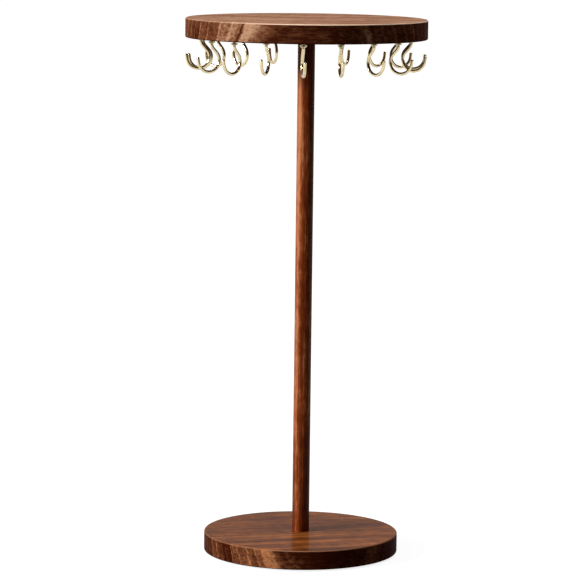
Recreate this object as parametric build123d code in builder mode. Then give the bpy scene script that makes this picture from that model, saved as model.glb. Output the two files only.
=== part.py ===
from build123d import *
import os

# Necklace stand with a turning top. A round wooden base carries a turned post,
# and a larger round top spins on a small ball bearing at the post's upper end.
# A ring of shouldered brass cup hooks is screwed into the underside of the top.
# Sizes are millimetres. Z is up, the origin is the centre of the foot, and -Y is the front.

# Top disc
top_diameter = 200.0
top_thickness = 16.0

# Base disc and the felt under it
base_diameter = 162.0
base_thickness = 16.0
felt_margin = 8.0
felt_thickness = 1.2

# Both discs have the same small rounded edge
edge_round = 1.0

# Post: the bare length between the base and the top. Its foot is glued into the base,
# down to the web of wood that the screw clamps
post_diameter = 14.3
post_bare_length = 413.0
base_web = 3.5
post_end_chamfer = 0.5
glue_clearance = 0.1

# Screw and washer that draw the post down from under the base
screw_diameter = 4.0
screw_length = 32.0
screw_head_diameter = 8.5
screw_head_height = 2.2
screw_drive_width = 1.1
screw_drive_span = 4.4
screw_drive_depth = 1.2
washer_diameter = 12.0
washer_thickness = 1.0
screw_point_length = 5.0
head_cover = 0.3
screw_clearance = 0.25
hole_bottom_clearance = 1.5

# Ball bearing let into the underside of the top
bearing_bore = 6.0
bearing_outer_diameter = 13.0
bearing_width = 5.0
bearing_edge_chamfer = 0.25
ball_diameter = 2.0
ball_count = 7
groove_clearance = 0.04
groove_depth = 0.2
cage_ring_width = 0.8
cage_shield_gap = 0.6
cage_horn_height = 0.5
cage_pocket_clearance = 0.05
shield_thickness = 0.3
shield_rebate_width = 0.35
shield_running_clearance = 0.15
press_clearance = 0.01

# Pivot between the post and the bearing
turning_gap = 0.4
bearing_recess = 1.0
pin_grip = 24.0
pin_stand_out = 0.5
pin_chamfer = 0.5
relief_clearance = 0.8

# Cup hooks
hook_count = 18
front_hook_angle = -91.6
hook_inset = 12.7
wire_diameter = 2.6
shank_length = 11.0
shank_point_length = 2.4
shank_point_radius = 0.25
neck_drop = 2.6
neck_bend_radius = 4.5
neck_angle = 42.0
slant_length = 5.0
cup_radius = 9.3
tip_lean = 8.0
tip_length = 4.2
tip_flat_radius = 0.2
pilot_clearance = 0.03

# The hooks are screwed in by hand. Round from the front one, these lists give how far each is
# turned off its radial line, in degrees, and how far it stands short of fully home
hook_turns = [8, -10, 3, 8, -1, 0, -2, -3, 2, 4, 1, 1, -4, 5, -2, -3, -2, 4]
hook_drops = [1.2, 1.0, 0.6, 0.9, 0.2, 0.2, 0.8, 1.6, 1.6, 1.0, 1.0, 2.8, 2.2, 2.0, 0.4, 1.4, 1.4, 0.0]

# Collar pressed onto the neck of each hook, which meets the wood once the hook is home
collar_flare = 1.42
collar_rim_height = 1.2
collar_height = 1.8
collar_lip = 0.5

# Heights that follow from the sizes above
base_top = felt_thickness + base_thickness
counterbore_depth = washer_thickness + screw_head_height + head_cover
washer_seat = felt_thickness + counterbore_depth
screw_seat = washer_seat - washer_thickness
screw_crown = screw_seat - screw_head_height
screw_tip = screw_seat + screw_length
post_bottom = washer_seat + base_web
post_top = base_top + post_bare_length
top_underside = post_top + turning_gap
bearing_bottom = top_underside + bearing_recess
bearing_middle = bearing_bottom + bearing_width / 2
bearing_top = bearing_bottom + bearing_width
pin_top = bearing_top + pin_stand_out
pin_bottom = post_top - pin_grip
shield_rebate_depth = shield_thickness + press_clearance
cage_bottom = bearing_bottom + shield_rebate_depth + cage_shield_gap

# Radii that follow from the sizes above
post_radius = post_diameter / 2
screw_radius = screw_diameter / 2
screw_head_radius = screw_head_diameter / 2
screw_head_round = screw_head_height / 2
washer_radius = washer_diameter / 2
pin_radius = bearing_bore / 2 - press_clearance
ball_radius = ball_diameter / 2
pitch_radius = (bearing_bore + bearing_outer_diameter) / 4
groove_radius = ball_radius + groove_clearance
inner_ring_radius = pitch_radius - groove_radius + groove_depth
outer_ring_bore_radius = pitch_radius + groove_radius - groove_depth
shield_outer_radius = outer_ring_bore_radius + shield_rebate_width
wire_radius = wire_diameter / 2
hook_ring_radius = top_diameter / 2 - hook_inset
collar_bore_radius = wire_radius + pilot_clearance
collar_lip_radius = collar_bore_radius + collar_lip
collar_rim_radius = collar_bore_radius + collar_flare

# Where each hook stands round the ring, and the foot of its neck, at the top of its collar
hook_angles = [front_hook_angle + index * 360 / hook_count for index in range(hook_count)]
hook_feet = []
for hook_index, hook_angle in enumerate(hook_angles):
    hook_drop = hook_drops[hook_index % len(hook_drops)]
    hook_feet.append(Vector(hook_ring_radius, 0, top_underside - hook_drop).rotate(Axis.Z, hook_angle))

# Faces that are drilled from below, with their normals pointing down
base_underside_plane = Plane((0, 0, felt_thickness), x_dir=(1, 0, 0), z_dir=(0, 0, -1))
post_bottom_plane = Plane((0, 0, post_bottom), x_dir=(1, 0, 0), z_dir=(0, 0, -1))
top_underside_plane = Plane((0, 0, top_underside), x_dir=(1, 0, 0), z_dir=(0, 0, -1))

os.makedirs("parts", exist_ok=True)


def save(piece, name):
    piece.part.label = name
    export_step(piece.part, f"parts/{name}.step")
    print(f"{name}: {piece.part.volume:.1f} mm3")


# Felt disc glued under the base, which covers the screw and is what the stand rests on
with BuildPart() as base_felt:
    with BuildSketch():
        Circle(base_diameter / 2 - felt_margin)
    extrude(amount=felt_thickness)
save(base_felt, "base_felt")

# Base disc: a socket for the post from above, a counterbored screw hole from below
with BuildPart() as base_disc:
    with BuildSketch(Plane.XY.offset(felt_thickness)):
        Circle(base_diameter / 2)
    extrude(amount=base_thickness)
    fillet(base_disc.edges().filter_by(GeomType.CIRCLE), radius=edge_round)
    with Locations(Plane.XY.offset(base_top)):
        Hole(post_radius + glue_clearance, depth=base_top - post_bottom)
    with Locations(base_underside_plane):
        CounterBoreHole(
            radius=screw_radius + screw_clearance,
            counter_bore_radius=washer_radius + screw_clearance,
            counter_bore_depth=counterbore_depth,
            depth=base_thickness,
        )
save(base_disc, "base_disc")

# Washer under the screw's head
with BuildPart() as base_washer:
    with BuildSketch(Plane.XY.offset(screw_seat)):
        Circle(washer_radius)
        Circle(screw_radius + screw_clearance, mode=Mode.SUBTRACT)
    extrude(amount=washer_thickness)
save(base_washer, "base_washer")

# Pan-head wood screw, point up, with a cross recess in its head
with BuildPart() as base_screw:
    with BuildSketch(Plane.XZ):
        with BuildLine():
            crown = Line((0, screw_crown), (screw_head_radius - screw_head_round, screw_crown))
            head_side = TangentArc(
                crown @ 1,
                (screw_head_radius, screw_crown + screw_head_round),
                tangent=(1, 0),
            )
            Polyline(
                head_side @ 1,
                (screw_head_radius, screw_seat),
                (screw_radius, screw_seat),
                (screw_radius, screw_tip - screw_point_length),
                (0, screw_tip),
                crown @ 0,
            )
        make_face()
    revolve(axis=Axis.Z)
    with BuildSketch(Plane.XY.offset(screw_crown)):
        Rectangle(screw_drive_span, screw_drive_width)
        Rectangle(screw_drive_width, screw_drive_span)
    extrude(amount=screw_drive_depth, mode=Mode.SUBTRACT)
save(base_screw, "base_screw")

# Turned post, bored for the screw at its foot and for the pivot pin at its head
with BuildPart() as post:
    with BuildSketch(Plane.XY.offset(post_bottom)):
        Circle(post_radius)
    extrude(amount=post_top - post_bottom)
    chamfer(post.edges().filter_by(GeomType.CIRCLE), length=post_end_chamfer)
    with Locations(post_bottom_plane):
        Hole(screw_radius + pilot_clearance, depth=screw_tip - post_bottom + hole_bottom_clearance)
    with Locations(Plane.XY.offset(post_top)):
        Hole(pin_radius + press_clearance, depth=pin_grip + hole_bottom_clearance)
save(post, "post")

# Pivot pin, pressed into the post below and into the bearing's inner ring above
with BuildPart() as pivot_pin:
    with BuildSketch(Plane.XY.offset(pin_bottom)):
        Circle(pin_radius)
    extrude(amount=pin_top - pin_bottom)
    chamfer(pivot_pin.edges().filter_by(GeomType.CIRCLE), length=pin_chamfer)
save(pivot_pin, "pivot_pin")

# Spacer on the pin, which lifts the bearing and keeps the turning gap open
with BuildPart() as pivot_spacer:
    with BuildSketch(Plane.XY.offset(post_top)):
        Circle(inner_ring_radius)
        Circle(pin_radius + press_clearance, mode=Mode.SUBTRACT)
    extrude(amount=bearing_bottom - post_top)
save(pivot_spacer, "pivot_spacer")

# Bearing rings, each with a round groove for the balls
with BuildPart() as bearing_inner_ring:
    with BuildSketch(Plane.XY.offset(bearing_bottom)):
        Circle(inner_ring_radius)
        Circle(bearing_bore / 2, mode=Mode.SUBTRACT)
    extrude(amount=bearing_width)
    with Locations((0, 0, bearing_middle)):
        Torus(pitch_radius, groove_radius, mode=Mode.SUBTRACT)
save(bearing_inner_ring, "bearing_inner_ring")

with BuildPart() as bearing_outer_ring:
    with BuildSketch(Plane.XY.offset(bearing_bottom)):
        Circle(bearing_outer_diameter / 2)
    extrude(amount=bearing_width)
    chamfer(bearing_outer_ring.edges().filter_by(GeomType.CIRCLE), length=bearing_edge_chamfer)
    with BuildSketch(Plane.XY.offset(bearing_bottom)):
        Circle(outer_ring_bore_radius)
    extrude(amount=bearing_width, mode=Mode.SUBTRACT)
    with BuildSketch(Plane.XY.offset(bearing_bottom), Plane.XY.offset(bearing_top - shield_rebate_depth)):
        Circle(shield_outer_radius)
    extrude(amount=shield_rebate_depth, mode=Mode.SUBTRACT)
    with Locations((0, 0, bearing_middle)):
        Torus(pitch_radius, groove_radius, mode=Mode.SUBTRACT)
save(bearing_outer_ring, "bearing_outer_ring")

# Thin shields held in the outer ring's rebates, running clear of the inner ring
shield_heights = {
    "bearing_lower_shield": bearing_bottom + press_clearance,
    "bearing_upper_shield": bearing_top - shield_rebate_depth,
}
for shield_name, shield_height in shield_heights.items():
    with BuildPart() as bearing_shield:
        with BuildSketch(Plane.XY.offset(shield_height)):
            Circle(shield_outer_radius - press_clearance)
            Circle(inner_ring_radius + shield_running_clearance, mode=Mode.SUBTRACT)
        extrude(amount=shield_thickness)
    save(bearing_shield, shield_name)

# Balls, kept apart by a crown cage that cups them from below
with BuildPart() as bearing_balls:
    with Locations((0, 0, bearing_middle)):
        with PolarLocations(pitch_radius, ball_count):
            Sphere(ball_radius)
save(bearing_balls, "bearing_balls")

with BuildPart() as bearing_cage:
    with BuildSketch(Plane.XY.offset(cage_bottom)):
        Circle(pitch_radius + cage_ring_width / 2)
        Circle(pitch_radius - cage_ring_width / 2, mode=Mode.SUBTRACT)
    extrude(amount=bearing_middle + cage_horn_height - cage_bottom)
    with Locations((0, 0, bearing_middle)):
        with PolarLocations(pitch_radius, ball_count):
            Sphere(ball_radius + cage_pocket_clearance, mode=Mode.SUBTRACT)
save(bearing_cage, "bearing_cage")

# Top disc: a blind bearing pocket and a ring of blind pilot holes, all drilled from below
with BuildPart() as top_disc:
    with BuildSketch(Plane.XY.offset(top_underside)):
        Circle(top_diameter / 2)
    extrude(amount=top_thickness)
    fillet(top_disc.edges().filter_by(GeomType.CIRCLE), radius=edge_round)
    with Locations(top_underside_plane):
        CounterBoreHole(
            radius=outer_ring_bore_radius,
            counter_bore_radius=bearing_outer_diameter / 2 + press_clearance,
            counter_bore_depth=bearing_recess + bearing_width,
            depth=bearing_recess + bearing_width + pin_stand_out + relief_clearance,
        )
        with PolarLocations(hook_ring_radius, hook_count, start_angle=-front_hook_angle):
            Hole(wire_radius + pilot_clearance, depth=shank_length + hole_bottom_clearance)
save(top_disc, "top_disc")

# Collars, one pressed onto the neck of each hook
with BuildPart() as collar:
    with BuildSketch(Plane.XZ):
        with BuildLine():
            Polyline(
                (collar_bore_radius, 0),
                (collar_rim_radius, 0),
                (collar_rim_radius, -collar_rim_height),
                (collar_lip_radius, -collar_height),
                (collar_bore_radius, -collar_height),
                close=True,
            )
        make_face()
    revolve(axis=Axis.Z)

with BuildPart() as hook_collars:
    with Locations(*hook_feet):
        add(collar.part)
save(hook_collars, "hook_collars")

# Cup hooks. Each is one bent wire: a screwed shank in the wood, a neck that leans in
# towards the post, and a cup that opens outwards to a slightly splayed tip.
for hook_index, hook_foot in enumerate(hook_feet):
    hook_turn = hook_turns[hook_index % len(hook_turns)]
    outward = Vector(1, 0, 0).rotate(Axis.Z, hook_angles[hook_index] + hook_turn)
    hook_plane = Plane(origin=hook_foot, x_dir=outward, z_dir=outward.cross(Vector(0, 0, 1)))
    shank_plane = Plane(origin=hook_foot + Vector(0, 0, shank_length), z_dir=(0, 0, -1))
    with BuildPart() as hook:
        with BuildLine(hook_plane) as hook_line:
            shank = Line((0, shank_length), (0, -neck_drop))
            neck = JernArc(shank @ 1, shank % 1, neck_bend_radius, -neck_angle)
            slant = PolarLine(neck @ 1, slant_length, direction=neck % 1)
            cup = JernArc(slant @ 1, slant % 1, cup_radius, neck_angle + 180 - tip_lean)
            PolarLine(cup @ 1, tip_length, direction=cup % 1)
        with BuildSketch(shank_plane):
            Circle(wire_radius)
        sweep(path=hook_line.wire())
        hook_ends = hook.faces().filter_by(GeomType.PLANE).sort_by(Axis.Z)
        chamfer(
            hook_ends[-1].edges(),
            length=wire_radius - shank_point_radius,
            length2=shank_point_length,
            reference=hook_ends[-1],
        )
        fillet(hook_ends[0].edges(), radius=wire_radius - tip_flat_radius)
    save(hook, f"hook_{hook_index + 1:02d}")
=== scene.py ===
import math
import bpy
from mathutils import Matrix, Vector

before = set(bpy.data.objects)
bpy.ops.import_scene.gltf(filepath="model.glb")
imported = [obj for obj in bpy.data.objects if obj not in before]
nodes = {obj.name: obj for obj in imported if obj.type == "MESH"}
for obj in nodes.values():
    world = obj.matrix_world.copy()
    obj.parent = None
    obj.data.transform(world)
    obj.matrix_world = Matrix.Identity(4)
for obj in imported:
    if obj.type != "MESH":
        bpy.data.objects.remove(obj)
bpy.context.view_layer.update()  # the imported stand, with every node in its own place
bpy.ops.object.select_all(action="DESELECT")
print("frame loaded:", len(nodes), "nodes")


# Helpers for colours and node trees

perMetre = (1000, 1000, 1000)  # millimetres to the metre, along each axis
noiseMiddle = 0.5  # noises run from 0 to 1 about this


def tone(red, green, blue):
    # display values from 0 to 255, as a colour picker shows them, through the usual display curve
    shares = [channel / 255 for channel in (red, green, blue)]
    linear = [share / 12.92 if share < 0.0404 else ((share + 0.055) / 1.055) ** 2.4 for share in shares]
    return (*linear, 1.0)


def grey(level):
    return (level, level, level, 1.0)


def feed(tree, socket, value):
    # a socket is linked, anything else is written into the input
    if isinstance(value, bpy.types.NodeSocket):
        tree.links.new(value, socket)
    else:
        socket.default_value = value


def add(tree, kind, **settings):
    node = tree.nodes.new("ShaderNode" + kind)
    for name, value in settings.items():
        setattr(node, name, value)
    return node


def calc(tree, operation, *terms):
    node = add(tree, "Math", operation=operation)
    for socket, term in zip(node.inputs, terms):
        feed(tree, socket, term)
    return node.outputs[0]


def vectorCalc(tree, operation, *terms):
    node = add(tree, "VectorMath", operation=operation)
    for socket, term in zip(node.inputs, terms):
        feed(tree, socket, term)
    return node.outputs["Value"] if operation in ("LENGTH", "DOT_PRODUCT") else node.outputs["Vector"]


def scaled(tree, vector, scale):
    return vectorCalc(tree, "MULTIPLY", vector, scale)


def pointInMillimetres(tree):
    return scaled(tree, add(tree, "TexCoord").outputs["Object"], perMetre)


def noise(tree, point, figure, output="Fac"):
    # a figure is the noise's stretch per millimetre along each axis, its detail and its roughness
    stretch, detail, roughness = figure
    node = add(tree, "TexNoise")
    feed(tree, node.inputs["Vector"], scaled(tree, point, stretch))
    node.inputs["Scale"].default_value = 1.0
    node.inputs["Detail"].default_value = detail
    node.inputs["Roughness"].default_value = roughness
    return node.outputs[output]


def centred(tree, noiseValue):
    return calc(tree, "SUBTRACT", noiseValue, noiseMiddle)


def mapRange(tree, value, low, high, newLow=0.0, newHigh=1.0, smooth=True):
    node = add(tree, "MapRange", interpolation_type="SMOOTHSTEP" if smooth else "LINEAR")
    for name, term in (("Value", value), ("From Min", low), ("From Max", high),
                       ("To Min", newLow), ("To Max", newHigh)):
        feed(tree, node.inputs[name], term)
    return node.outputs["Result"]


def mixColour(tree, factor, first, second, blend="MIX"):
    # the Mix node has its factor at input 0, its colours at 6 and 7 and the mixed colour at output 2
    node = add(tree, "Mix", data_type="RGBA", blend_type=blend)
    feed(tree, node.inputs[0], factor)
    feed(tree, node.inputs[6], first)
    feed(tree, node.inputs[7], second)
    return node.outputs[2]


def levelRamp(tree, factor, stops):
    # each stop is a place from 0 to 1 and the level there
    node = add(tree, "ValToRGB")
    elements = node.color_ramp.elements
    while len(elements) < len(stops):
        elements.new(1.0)  # moved to its place below
    for element, (place, level) in zip(elements, stops):
        element.position = place
        element.color = grey(level)
    feed(tree, node.inputs["Fac"], factor)
    return node.outputs["Color"]


def newGroup(name, inputs, outputs):
    tree = bpy.data.node_groups.new(name, "ShaderNodeTree")
    for socketName, kind, value in inputs:
        socket = tree.interface.new_socket(
            name=socketName, in_out="INPUT", socket_type="NodeSocket" + kind)
        socket.default_value = value
    for socketName, kind in outputs:
        tree.interface.new_socket(
            name=socketName, in_out="OUTPUT", socket_type="NodeSocket" + kind)
    return tree, tree.nodes.new("NodeGroupInput").outputs, tree.nodes.new("NodeGroupOutput").inputs


def placeGroup(tree, group, **values):
    node = add(tree, "Group", node_tree=group)
    for name, value in values.items():
        feed(tree, node.inputs[name], value)
    return node.outputs


def newMaterial(name, **settings):
    material = bpy.data.materials.new(name)
    material.use_nodes = True
    tree = material.node_tree
    shader = tree.nodes["Principled BSDF"]
    for socketName, value in settings.items():
        shader.inputs[socketName].default_value = value
    return material, tree, shader


def addBump(tree, shader, height, distance):
    bump = add(tree, "Bump")
    bump.inputs["Strength"].default_value = 1.0
    bump.inputs["Distance"].default_value = distance
    feed(tree, bump.inputs["Height"], height)
    feed(tree, shader.inputs["Normal"], bump.outputs["Normal"])


def dress(nodeName, material):
    for materialSlot in nodes[nodeName].material_slots:
        materialSlot.material = material


# Walnut, worked out in millimetres with the fibres along X

walnutFinish = {
    # noises that bend the year rings, and noises that make the wood's figure
    "slowWander": ((0.011, 0.030, 0.030), 1.0, 0.5),
    "fastWander": ((0.055, 0.150, 0.150), 1.0, 0.5),
    "fibre": ((0.028, 0.95, 0.95), 4.0, 0.6),
    "fineFibre": ((0.11, 3.6, 3.6), 2.0, 0.5),
    "heartwood": ((0.014, 0.080, 0.080), 2.0, 0.5),
    "curl": ((0.14, 0.05, 0.05), 1.0, 0.5),
    "fleck": ((0.10, 0.45, 0.45), 3.0, 0.65),
    # a ring's darkness from its start to its end, and how fast the rings' widths vary
    "ringStops": ((0.0, 0.0), (0.08, 0.08), (0.18, 0.70), (0.60, 0.78), (0.92, 1.0), (1.0, 0.0)),
    "ringVariation": 0.37,
    # how far the surface looks up or down where a face or a rounded edge begins and is complete, and
    # where the edges fade out again into the faces
    "face": (0.2, 0.8), "upperEdge": (0.05, 0.30), "shadedLowerEdge": (0.05, 0.45), "edgeFades": (0.90, 0.99),
    # how far it looks along the fibres for end grain, and from the left end's end grain to the right end's,
    # which has painted shade on it too
    "endGrain": (0.45, 1.0), "endGrainAndShade": (-0.4, 0.4),
    # metres to the right of the middle between which the upper edge's painted highlight goes from left to
    # right
    "highlightChanges": (-0.08, 0.0),
    # contrast spreads the darkness about the pivot, which comes to lie at the level; heart is the
    # darkness at which the wood has its heart tone
    "pivot": 0.6, "level": 0.4, "heart": 0.5,
    # pores are wide early in a ring and narrow late in it; core is the share of the width that is
    # fully dark, and cover is how much streak tone a pore has
    "poreStretch": (0.16, 2.3, 2.3), "poreRing": (0.1, 0.8), "poreWidth": (0.22, 0.10),
    "poreCore": 0.55, "poreCover": 0.55,
}
# How much each layer darkens the wood; rings show most on end grain, and the lower edge's weight is painted
# shade
walnutWeights = {"fibre": 0.85, "fineFibre": 0.50, "heartwood": 0.70, "curl": 0.25, "fleck": 1.10,
                 "faceFleck": 0.45, "year": 0.14, "faceRing": 0.20, "endRing": 0.50, "leftEnd": 0.30,
                 "shadedLowerEdge": 0.45}
walnutRoughness = {"face": 0.60, "rim": 0.62, "fibre": 0.16, "pore": 0.20}
walnutRelief = {"fineFibre": 0.35, "fibre": 0.25, "pore": -0.8, "metres": 0.00012}


def buildDepthGroup():
    # depth is a point's distance from the pith, less that of the piece's middle, in millimetres and
    # with the rings' wander in it
    tree, given, result = newGroup(
        "ringDepth",
        [("Point", "Vector", (0, 0, 0)), ("Pith", "Vector", (0, 200, 0)), ("Drift", "Float", 3.0),
         ("Swirl", "Float", 2.0)],
        [("Depth", "Float")])
    acrossFibres = (0, 1, 1)
    wandered = given["Point"]
    for figureName, reachName in (("slowWander", "Drift"), ("fastWander", "Swirl")):
        push = noise(tree, given["Point"], walnutFinish[figureName], output="Color")
        push = vectorCalc(tree, "SUBTRACT", push, (noiseMiddle,) * 3)
        push = vectorCalc(tree, "SCALE", push)
        # over the centred noise's own reach, so that the push is at most the given millimetres
        feed(tree, push.node.inputs["Scale"], calc(tree, "MULTIPLY", given[reachName], 1.0 / noiseMiddle))
        wandered = vectorCalc(tree, "ADD", wandered, push)
    across = scaled(tree, vectorCalc(tree, "SUBTRACT", wandered, given["Pith"]), acrossFibres)
    reach = vectorCalc(tree, "LENGTH", scaled(tree, given["Pith"], acrossFibres))
    feed(tree, result["Depth"], calc(tree, "SUBTRACT", vectorCalc(tree, "LENGTH", across), reach))
    return tree


def edgeMask(tree, up, begins):
    # the rounded edge between a rim, which looks sideways, and a face, which looks fully up
    begun = mapRange(tree, up, *begins)
    return calc(tree, "MULTIPLY", begun, mapRange(tree, up, *walnutFinish["edgeFades"], 1.0, 0.0))


def buildWalnutGroup():
    finish, weights, rough, relief = walnutFinish, walnutWeights, walnutRoughness, walnutRelief
    tree, given, result = newGroup(
        "walnutGrain",
        [("Point", "Vector", (0, 0, 0)), ("Fibre Facing", "Float", 0.0), ("Up", "Float", 0.0),
         ("Depth", "Float", 0.0), ("Zone", "Float", 0.5), ("Ring Start", "Float", 0.0),
         ("Ring Width", "Float", 8.0), ("Contrast", "Float", 1.0),
         ("Pale", "Color", tone(170, 120, 88)), ("Heart", "Color", tone(120, 74, 48)),
         ("Streak", "Color", tone(58, 32, 20)), ("Edge Highlight Tone", "Color", tone(200, 150, 120)),
         ("Edge Highlight Share", "Float", 0.7), ("Right End Grain And Shade", "Float", 0.65)],
        [("Color", "Color"), ("Roughness", "Float"), ("Height", "Float")])
    point, up, fibreFacing = given["Point"], given["Up"], given["Fibre Facing"]

    # year rings, counted outwards, each with its own width and its own tone
    outwards = calc(tree, "SUBTRACT", given["Depth"], given["Ring Start"])
    ringCount = calc(tree, "DIVIDE", outwards, given["Ring Width"])
    uneven = add(tree, "TexNoise", noise_dimensions="1D")
    uneven.inputs["Scale"].default_value = finish["ringVariation"]
    feed(tree, uneven.inputs["W"], ringCount)
    age = calc(tree, "ADD", centred(tree, uneven.outputs["Fac"]), ringCount)
    ringTone = levelRamp(tree, calc(tree, "FRACT", age), finish["ringStops"])
    yearTone = add(tree, "TexWhiteNoise", noise_dimensions="1D")
    feed(tree, yearTone.inputs["W"], calc(tree, "FLOOR", age))

    # end grain shows where the fibres meet the surface, and painted shade darkens the right end more than
    # the left
    endGrain = mapRange(tree, calc(tree, "ABSOLUTE", fibreFacing), *finish["endGrain"])
    endGrainAndShade = mapRange(tree, fibreFacing, *finish["endGrainAndShade"], weights["leftEnd"], given["Right End Grain And Shade"])
    ringWeight = mapRange(tree, endGrain, 0.0, 1.0, weights["faceRing"], weights["endRing"])

    # the rounded edges: the upper one takes a painted highlight, and the lower one painted shade
    onFace = mapRange(tree, calc(tree, "ABSOLUTE", up), *finish["face"])
    upperEdge = edgeMask(tree, up, finish["upperEdge"])
    shadedLowerEdge = edgeMask(tree, calc(tree, "MULTIPLY", up, -1.0), finish["shadedLowerEdge"])

    # darkness runs from 0, the palest wood, to 1, the darkest streak
    darkness = calc(tree, "MULTIPLY_ADD", ringTone, ringWeight, given["Zone"])
    darkness = calc(tree, "MULTIPLY_ADD", yearTone.outputs["Value"], weights["year"], darkness)
    layers = {name: noise(tree, point, finish[name])
              for name in ("fibre", "fineFibre", "heartwood", "curl", "fleck")}
    fleckWeight = mapRange(tree, onFace, 0.0, 1.0, weights["fleck"], weights["faceFleck"])
    for name, layer in layers.items():
        weight = fleckWeight if name == "fleck" else weights[name]
        darkness = calc(tree, "MULTIPLY_ADD", centred(tree, layer), weight, darkness)
    fromPivot = calc(tree, "SUBTRACT", darkness, finish["pivot"])
    darkness = calc(tree, "MULTIPLY_ADD", fromPivot, given["Contrast"], finish["level"])
    darkness = calc(tree, "MULTIPLY_ADD", endGrain, endGrainAndShade, darkness)
    # painted shade along the lower rounded edge
    darkness = calc(tree, "MULTIPLY_ADD", shadedLowerEdge, weights["shadedLowerEdge"], darkness)
    toHeart = mapRange(tree, darkness, 0.0, finish["heart"], smooth=False)
    toStreak = mapRange(tree, darkness, finish["heart"], 1.0, smooth=False)
    colour = mixColour(tree, toHeart, given["Pale"], given["Heart"])
    colour = mixColour(tree, toStreak, colour, given["Streak"])
    # painted highlight along the upper rounded edge
    colour = mixColour(tree, calc(tree, "MULTIPLY", upperEdge, given["Edge Highlight Share"]), colour, given["Edge Highlight Tone"])

    # open pores: short dark dashes on long grain, dots on end grain
    cells = add(tree, "TexVoronoi", feature="F1", distance="EUCLIDEAN")
    feed(tree, cells.inputs["Vector"], scaled(tree, point, finish["poreStretch"]))
    cells.inputs["Scale"].default_value = 1.0
    poreWidth = mapRange(tree, ringTone, *finish["poreRing"], *finish["poreWidth"])
    poreCore = calc(tree, "MULTIPLY", poreWidth, finish["poreCore"])
    pore = mapRange(tree, cells.outputs["Distance"], poreCore, poreWidth, 1.0, 0.0)
    colour = mixColour(tree, calc(tree, "MULTIPLY", pore, finish["poreCover"]), colour, given["Streak"])
    feed(tree, result["Color"], colour)

    roughness = mapRange(tree, onFace, 0.0, 1.0, rough["rim"], rough["face"], smooth=False)
    roughness = calc(tree, "MULTIPLY_ADD", centred(tree, layers["fibre"]), rough["fibre"], roughness)
    feed(tree, result["Roughness"], calc(tree, "MULTIPLY_ADD", pore, rough["pore"], roughness))
    height = calc(tree, "MULTIPLY", layers["fibre"], relief["fibre"])
    height = calc(tree, "MULTIPLY_ADD", layers["fineFibre"], relief["fineFibre"], height)
    feed(tree, result["Height"], calc(tree, "MULTIPLY_ADD", pore, relief["pore"], height))
    return tree


depthGroup, walnutGroup = buildDepthGroup(), buildWalnutGroup()
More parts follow.
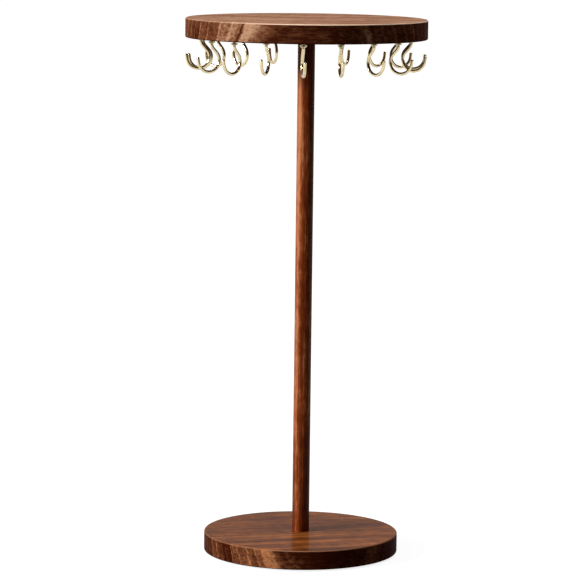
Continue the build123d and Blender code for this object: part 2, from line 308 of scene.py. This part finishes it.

# Each piece's cut of the wood: turn lays the fibres along X, slide gives the piece its own stretch of
# the wood, and pith is where the tree's centre lies from the piece's middle, both in millimetres.
# Drift and swirl are how far the rings wander, slowly and fast, in millimetres too.
# Zones give the wood's darkness at depths, from the pith outwards. They show in full on the sides,
# and alters gives other zones that the sides take on, by a share, from one place to another along a
# direction, in metres; on the discs this is painted shade on the rims towards the right, and on the post
# it darkens the side towards the foot, partly the wood's own tone and partly painted shade. The flat
# faces go to faceTone by the share calm.
# The upper edge takes a painted highlight, by the shares given at the left and at the right. The right
# end's end grain is darker by the given amount, which carries painted shade. Smoother comes off the
# roughness. Varnish is a thin coat on the upper face, over wood with a warmer tint.
walnutPieces = {
    "top_disc": {
        "turn": (0, 0, 0), "slide": 10, "pith": (0, 262, 80),
        "ringStart": 40.3, "ringWidth": 9.2, "drift": 0.8, "swirl": 1.0, "contrast": 1.0,
        "pale": tone(187, 143, 112), "heart": tone(114, 67, 42), "streak": tone(60, 23, 8),
        "zones": ((-100, 0.60), (-85, 0.44), (-50, 0.34), (20, 0.28), (50, 0.36), (62, 0.34), (69, 0.14),
                  (75, 0.14), (78, 0.32), (81.1, 0.34), (81.7, 0.95), (82.3, 0.95), (82.9, 0.02),
                  (86.5, 0.06), (89, 0.40), (92, 0.72), (95, 0.92), (99, 0.98)),
        # painted shade: the rims darken towards the right
        "alters": {"along": (1, 0, 0), "from": 0.005, "to": 0.045, "share": 0.72,
                   "zones": ((-100, 0.0), (20, 0.15), (60, 0.42), (70, 0.60), (77, 0.95), (82.8, 1.0),
                             (83.5, 0.48), (85.3, 0.48), (86.0, 1.0), (99, 1.0))},
        "faceTone": 0.24, "calm": 0.75,
        # painted highlight on the upper edge, and painted shade on the right end
        "edgeHighlightShare": (0.12, 1.0), "edgeHighlightTone": tone(248, 212, 182), "rightEndGrainAndShade": 0.42,
        "specular": 0.008, "smoother": 0.0, "varnish": None,
    },
    "base_disc": {
        "turn": (0, 0, math.radians(-14)), "slide": 430, "pith": (0, 262, -70),
        "ringStart": 35.5, "ringWidth": 6.4, "drift": 1.2, "swirl": 1.8, "contrast": 1.05,
        "pale": tone(191, 125, 81), "heart": tone(114, 67, 41), "streak": tone(58, 19, 6),
        "zones": ((-90, 0.55), (-70, 0.42), (-50, 0.40), (0, 0.52), (12, 0.52), (17, 0.26), (29, 0.30),
                  (33, 0.62), (40, 0.52), (44, 0.14), (55, 0.14), (59, 0.38), (63, 0.42), (64.5, 0.12),
                  (69.0, 0.16), (70.6, 0.62), (73.5, 0.80), (78, 0.92)),
        # painted shade: the rims darken towards the right
        "alters": {"along": (1, 0, 0), "from": 0.005, "to": 0.045, "share": 0.75,
                   "zones": ((-90, 0.95), (78, 0.95))},
        "faceTone": 0.49, "calm": 0.58,
        # painted highlight on the upper edge, and painted shade on the right end
        "edgeHighlightShare": (0.40, 0.75), "edgeHighlightTone": tone(176, 128, 106), "rightEndGrainAndShade": 0.65,
        "specular": 0.006, "smoother": 0.13,
        "varnish": {"weight": 0.085, "roughness": 0.12, "tint": (0.85, 0.68, 0.38, 1.0)},
    },
    "post": {
        "turn": (0, math.radians(90), 0), "slide": 219.2, "pith": (0, 15, 60),
        "ringStart": 0.0, "ringWidth": 3.4, "drift": 1.4, "swirl": 0.6, "contrast": 0.9,
        "pale": tone(188, 118, 78), "heart": tone(120, 52, 17), "streak": tone(64, 20, 3),
        "zones": ((-9, 0.52), (-6, 0.42), (-4.6, 0.25), (-3.2, 0.05), (-1.9, 0.28), (-0.4, 0.50),
                  (1.0, 0.66), (4.4, 0.48), (9, 0.42)),
        # the side darkens towards the foot, partly the wood's own tone and partly painted shade
        "alters": {"along": (0, 0, 1), "from": 0.13, "to": 0.035, "share": 0.85,
                   "zones": ((-9, 0.95), (-5, 0.88), (-3.0, 0.64), (-1.7, 0.36), (0.0, 0.44), (1.4, 0.55),
                             (2.8, 0.88), (4.2, 1.0), (9, 1.0))},
        "faceTone": 0.4, "calm": 0.0,
        "edgeHighlightShare": (0.0, 0.0), "edgeHighlightTone": tone(188, 118, 80), "rightEndGrainAndShade": 0.65,
        "specular": 0.06, "smoother": 0.28, "varnish": None,
    },
}


def middleHeight(nodeName):
    heights = [corner[2] for corner in nodes[nodeName].bound_box]
    return (min(heights) + max(heights)) / 2


def zoneRamp(tree, depth, zones):
    low, high = zones[0][0], zones[-1][0]
    place = mapRange(tree, depth, low, high, smooth=False)
    return levelRamp(tree, place, [((at - low) / (high - low), level) for at, level in zones])


def buildWalnut(nodeName, look):
    material, tree, shader = newMaterial("walnut_" + nodeName, **{"Specular IOR Level": look["specular"]})
    coordinates = add(tree, "TexCoord").outputs
    alongGrain, facing = [add(tree, "Mapping", vector_type=kind) for kind in ("POINT", "NORMAL")]
    for mapping in (alongGrain, facing):
        mapping.inputs["Rotation"].default_value = look["turn"]
    middle = (0, 0, middleHeight(nodeName))
    feed(tree, alongGrain.inputs["Vector"], vectorCalc(tree, "SUBTRACT", coordinates["Object"], middle))
    feed(tree, facing.inputs["Vector"], coordinates["Normal"])
    point = scaled(tree, alongGrain.outputs["Vector"], perMetre)
    point = vectorCalc(tree, "ADD", point, (look["slide"], 0, 0))
    depth = placeGroup(tree, depthGroup, **{
        "Point": point, "Pith": look["pith"], "Drift": look["drift"], "Swirl": look["swirl"]})["Depth"]
    up = vectorCalc(tree, "DOT_PRODUCT", coordinates["Normal"], (0, 0, 1))
    onFace = mapRange(tree, calc(tree, "ABSOLUTE", up), *walnutFinish["face"])

    alters = look["alters"]
    place = vectorCalc(tree, "DOT_PRODUCT", coordinates["Object"], alters["along"])
    altered = mapRange(tree, place, alters["from"], alters["to"], 0.0, alters["share"])
    altered = calc(tree, "MULTIPLY", altered, calc(tree, "SUBTRACT", 1.0, onFace))
    calmed = calc(tree, "MULTIPLY", onFace, look["calm"])
    zone = zoneRamp(tree, depth, look["zones"])
    for share, target in ((altered, zoneRamp(tree, depth, alters["zones"])), (calmed, look["faceTone"])):
        zone = mapRange(tree, share, 0.0, 1.0, zone, target, smooth=False)
    toRight = vectorCalc(tree, "DOT_PRODUCT", coordinates["Object"], (1, 0, 0))

    grain = placeGroup(tree, walnutGroup, **{
        "Point": point, "Fibre Facing": vectorCalc(tree, "DOT_PRODUCT", facing.outputs["Vector"], (1, 0, 0)),
        "Up": up, "Depth": depth, "Zone": zone, "Ring Start": look["ringStart"],
        # the right end's darkness holds painted shade on top of the end grain
        "Ring Width": look["ringWidth"], "Contrast": look["contrast"], "Right End Grain And Shade": look["rightEndGrainAndShade"],
        # painted highlight on the upper edge, weaker at the left
        "Edge Highlight Share": mapRange(tree, toRight, *walnutFinish["highlightChanges"], *look["edgeHighlightShare"]),
        "Pale": look["pale"], "Heart": look["heart"], "Streak": look["streak"], "Edge Highlight Tone": look["edgeHighlightTone"]})
    colour, varnish = grain["Color"], look["varnish"]
    if varnish:
        upperFace = mapRange(tree, up, *walnutFinish["face"])
        colour = mixColour(tree, upperFace, colour, varnish["tint"], blend="MULTIPLY")
        feed(tree, shader.inputs["Coat Weight"], calc(tree, "MULTIPLY", upperFace, varnish["weight"]))
        shader.inputs["Coat Roughness"].default_value = varnish["roughness"]
    feed(tree, shader.inputs["Base Color"], colour)
    feed(tree, shader.inputs["Roughness"], calc(tree, "SUBTRACT", grain["Roughness"], look["smoother"]))
    addBump(tree, shader, grain["Height"], walnutRelief["metres"])
    return material


for nodeName, look in walnutPieces.items():
    dress(nodeName, buildWalnut(nodeName, look))
print("walnut on", ", ".join(walnutPieces))


# Polished brass for the hooks and their collars, a little dull in patches and wiped along

brassFinish = {
    "bright": tone(242, 225, 182), "dull": tone(190, 166, 118), "dullShare": 0.5,
    "tarnish": ((0.12, 0.12, 0.12), 3.0, 0.6), "tarnishLimits": (0.42, 0.72),
    "wipe": ((2.4, 2.4, 0.7), 2.0, 0.5),
    "roughness": 0.13, "dullRoughness": 0.08, "wipeRoughness": 0.05, "relief": 0.00001,
}


def buildBrass(finish):
    material, tree, shader = newMaterial("polished_brass", Metallic=1.0)
    point = pointInMillimetres(tree)
    cover = mapRange(tree, noise(tree, point, finish["tarnish"]), *finish["tarnishLimits"])
    wipe = noise(tree, point, finish["wipe"])
    dulled = calc(tree, "MULTIPLY", cover, finish["dullShare"])
    feed(tree, shader.inputs["Base Color"], mixColour(tree, dulled, finish["bright"], finish["dull"]))
    roughness = calc(tree, "MULTIPLY_ADD", cover, finish["dullRoughness"], finish["roughness"])
    roughness = calc(tree, "MULTIPLY_ADD", wipe, finish["wipeRoughness"], roughness)
    feed(tree, shader.inputs["Roughness"], roughness)
    addBump(tree, shader, wipe, finish["relief"])
    return material


brass = buildBrass(brassFinish)
for nodeName in nodes:
    if nodeName.startswith("hook_"):
        dress(nodeName, brass)
print("brass on the hooks and collars")


# Felt, steel and the bearing's cage; what is fixed goes straight into the shader

feltFinish = {
    "dark": tone(16, 15, 15), "light": tone(52, 48, 46), "blendLimits": (0.3, 0.7),
    "tufts": ((0.9, 0.9, 0.9), 3.0, 0.7), "hairs": ((5.0, 1.6, 5.0), 3.0, 0.75), "relief": 0.0003,
    "fixed": {"Roughness": 0.95, "Specular IOR Level": 0.2, "Sheen Weight": 0.35, "Sheen Roughness": 0.5},
}
steelFinish = {
    "dark": tone(168, 170, 174), "light": tone(206, 207, 208), "mottle": ((0.4, 0.4, 6.0), 3.0, 0.5),
    "roughness": 0.18, "spread": 0.16, "relief": 0.00001, "fixed": {"Metallic": 1.0},
}
nylonFinish = {
    "dark": tone(188, 176, 148), "light": tone(216, 206, 180), "mottle": ((1.4, 1.4, 1.4), 3.0, 0.5),
    "roughness": 0.42, "spread": 0.15, "relief": 0.00002, "fixed": {"Specular IOR Level": 0.4},
}


def buildFelt(name, finish):
    material, tree, shader = newMaterial(name, **finish["fixed"])
    point = pointInMillimetres(tree)
    tufts, hairs = noise(tree, point, finish["tufts"]), noise(tree, point, finish["hairs"])
    nap = calc(tree, "DIVIDE", calc(tree, "ADD", tufts, hairs), 2.0)
    blend = mapRange(tree, nap, *finish["blendLimits"])
    feed(tree, shader.inputs["Base Color"], mixColour(tree, blend, finish["dark"], finish["light"]))
    addBump(tree, shader, nap, finish["relief"])
    return material


def buildMottled(name, finish):
    material, tree, shader = newMaterial(name, **finish["fixed"])
    mottle = noise(tree, pointInMillimetres(tree), finish["mottle"])
    feed(tree, shader.inputs["Base Color"], mixColour(tree, mottle, finish["dark"], finish["light"]))
    roughness = calc(tree, "MULTIPLY_ADD", mottle, finish["spread"], finish["roughness"])
    feed(tree, shader.inputs["Roughness"], roughness)
    addBump(tree, shader, mottle, finish["relief"])
    return material


dress("base_felt", buildFelt("black_felt", feltFinish))
dress("bearing_cage", buildMottled("cage_nylon", nylonFinish))
steel = buildMottled("bright_steel", steelFinish)
for nodeName in ("base_screw", "base_washer", "pivot_pin", "pivot_spacer", "bearing_inner_ring",
                 "bearing_outer_ring", "bearing_lower_shield", "bearing_upper_shield", "bearing_balls"):
    dress(nodeName, steel)
print("felt, steel and nylon done")


# Floor: white paper that runs back from the stand and still takes a faint shadow

floorSettings = {
    "size": 60.0, "underFelt": 0.0003,
    # its glow is less near the stand, where the lamps' light adds the rest and a shadow shows
    "nearLevel": 0.86, "farLevel": 1.0, "fade": (0.5, 1.4),
    # reflections show it darker in front of the stand, between these places
    "paperFront": (-3.50, -1.00), "mirrored": (0.04, 0.64),
    # how much of the lamps' light it takes where it is seen, and how much it throws on the stand
    "shadowShare": 0.30, "bounce": 0.07,
}


def seenDirectly(tree, withGloss):
    # 1 for the camera's own rays and, with gloss, for what mirrors and glass show
    rays = add(tree, "LightPath").outputs
    seen = rays["Is Camera Ray"]
    if withGloss:
        mirrored = calc(tree, "MAXIMUM", rays["Is Glossy Ray"], rays["Is Transmission Ray"])
        seen = calc(tree, "MAXIMUM", seen, mirrored)
    return seen


def mixShaders(tree, factor, first, second):
    mix = add(tree, "MixShader")
    for socket, term in zip(mix.inputs, (factor, first, second)):
        feed(tree, socket, term)
    return mix.outputs[0]


def diffuse(tree, level):
    shader = add(tree, "BsdfDiffuse")
    shader.inputs["Color"].default_value = grey(level)
    return shader.outputs[0]


def buildFloor(settings):
    bpy.ops.mesh.primitive_plane_add(size=settings["size"], location=(0, 0, -settings["underFelt"]))
    floor = bpy.context.active_object
    floor.name = "studio_floor"
    material = bpy.data.materials.new("white_paper")
    material.use_nodes = True
    tree = material.node_tree
    tree.nodes.clear()
    place = add(tree, "NewGeometry").outputs["Position"]
    away = vectorCalc(tree, "LENGTH", place)
    level = mapRange(tree, away, *settings["fade"], settings["nearLevel"], settings["farLevel"])
    axes = add(tree, "SeparateXYZ")
    feed(tree, axes.inputs[0], place)
    paper = mapRange(tree, axes.outputs["Y"], *settings["paperFront"], *settings["mirrored"])
    glow = add(tree, "Emission")
    shown = calc(tree, "MAXIMUM", paper, seenDirectly(tree, withGloss=False))
    feed(tree, glow.inputs["Strength"], calc(tree, "MULTIPLY", level, shown))
    both = add(tree, "AddShader")
    feed(tree, both.inputs[0], glow.outputs[0])
    feed(tree, both.inputs[1], diffuse(tree, settings["shadowShare"]))
    paperShader = mixShaders(tree, seenDirectly(tree, withGloss=True),
                             diffuse(tree, settings["bounce"]), both.outputs[0])
    # from below the paper is clear, so that the felt can be seen
    sided = mixShaders(tree, add(tree, "NewGeometry").outputs["Backfacing"], paperShader,
                       add(tree, "BsdfTransparent").outputs[0])
    feed(tree, add(tree, "OutputMaterial").inputs["Surface"], sided)
    floor.data.materials.append(material)


buildFloor(floorSettings)

# World: white to the camera all round; as a reflection it is white behind and at the left, and dark
# and warm elsewhere; as light it is a dim and even white

worldSettings = {"brightSide": (-0.45, 0.89, 0.0), "turnOver": (0.10, 0.90), "darkLevel": 0.03,
                 "brightLevel": 1.0, "darkTint": (1.0, 0.62, 0.30, 1.0), "ambient": 0.12}


def buildWorld(settings):
    world = bpy.data.worlds.new("studio")
    bpy.context.scene.world = world
    world.use_nodes = True
    tree = world.node_tree
    background = tree.nodes["Background"]
    direction = add(tree, "TexCoord").outputs["Generated"]
    bright = mapRange(tree, vectorCalc(tree, "DOT_PRODUCT", direction, settings["brightSide"]),
                      *settings["turnOver"])
    mirrored = mapRange(tree, bright, 0.0, 1.0, settings["darkLevel"], settings["brightLevel"])
    seen, toCamera = seenDirectly(tree, withGloss=True), seenDirectly(tree, withGloss=False)
    level = mapRange(tree, seen, 0.0, 1.0, settings["ambient"], mirrored, smooth=False)
    feed(tree, background.inputs["Strength"], calc(tree, "MAXIMUM", level, toCamera))
    unseen = calc(tree, "SUBTRACT", 1.0, seen)
    white = calc(tree, "MAXIMUM", bright, calc(tree, "MAXIMUM", toCamera, unseen))
    feed(tree, background.inputs["Color"], mixColour(tree, white, settings["darkTint"], grey(1.0)))


buildWorld(worldSettings)

# Lamps: a wide softbox, low at the left and a little in front, and a soft one overhead, a little to
# the right; azimuth runs in degrees from the front towards the viewer's left

lampSettings = {
    "keySoftbox": {"azimuth": 66, "elevation": 22, "distance": 3.0, "size": (1.1, 0.55), "power": 124.0,
                   "aim": (0, 0, 0.30)},
    "overheadSoftbox": {"azimuth": 268, "elevation": 73, "distance": 1.3, "size": (1.0, 0.8), "power": 10.5,
                        "aim": (0, 0, 0.45)},
}


def addSoftbox(name, settings):
    azimuth, elevation = math.radians(settings["azimuth"]), math.radians(settings["elevation"])
    towards = Vector((-math.sin(azimuth) * math.cos(elevation), -math.cos(azimuth) * math.cos(elevation),
                      math.sin(elevation)))
    lamp = bpy.data.lights.new(name, "AREA")
    lamp.shape = "RECTANGLE"
    lamp.size, lamp.size_y = settings["size"]
    lamp.energy = settings["power"]
    holder = bpy.data.objects.new(name, lamp)
    bpy.context.scene.collection.objects.link(holder)
    holder.location = Vector(settings["aim"]) + towards * settings["distance"]
    holder.rotation_euler = towards.to_track_quat("Z", "Y").to_euler()


for lampName, lampValues in lampSettings.items():
    addSoftbox(lampName, lampValues)
print("floor, world and lamps set")

# Camera, at the photograph's place; angles in degrees, place in metres and lens in millimetres

cameraSettings = {"place": (0.0, -2.5915, 0.5667), "turn": 0.285, "tiltDown": 7.562, "roll": 0.677,
                  "lens": 196.29}

cameraData = bpy.data.cameras.new("photoCamera")
cameraData.lens = cameraSettings["lens"]
camera = bpy.data.objects.new("photoCamera", cameraData)
bpy.context.scene.collection.objects.link(camera)
camera.matrix_world = (
    Matrix.Translation(cameraSettings["place"])
    @ Matrix.Rotation(math.radians(cameraSettings["turn"]), 4, "Z")
    @ Matrix.Rotation(math.radians(90 - cameraSettings["tiltDown"]), 4, "X")
    @ Matrix.Rotation(math.radians(cameraSettings["roll"]), 4, "Z")
)
bpy.context.scene.camera = camera
bpy.context.scene.view_settings.view_transform = "Standard"
print("camera placed")
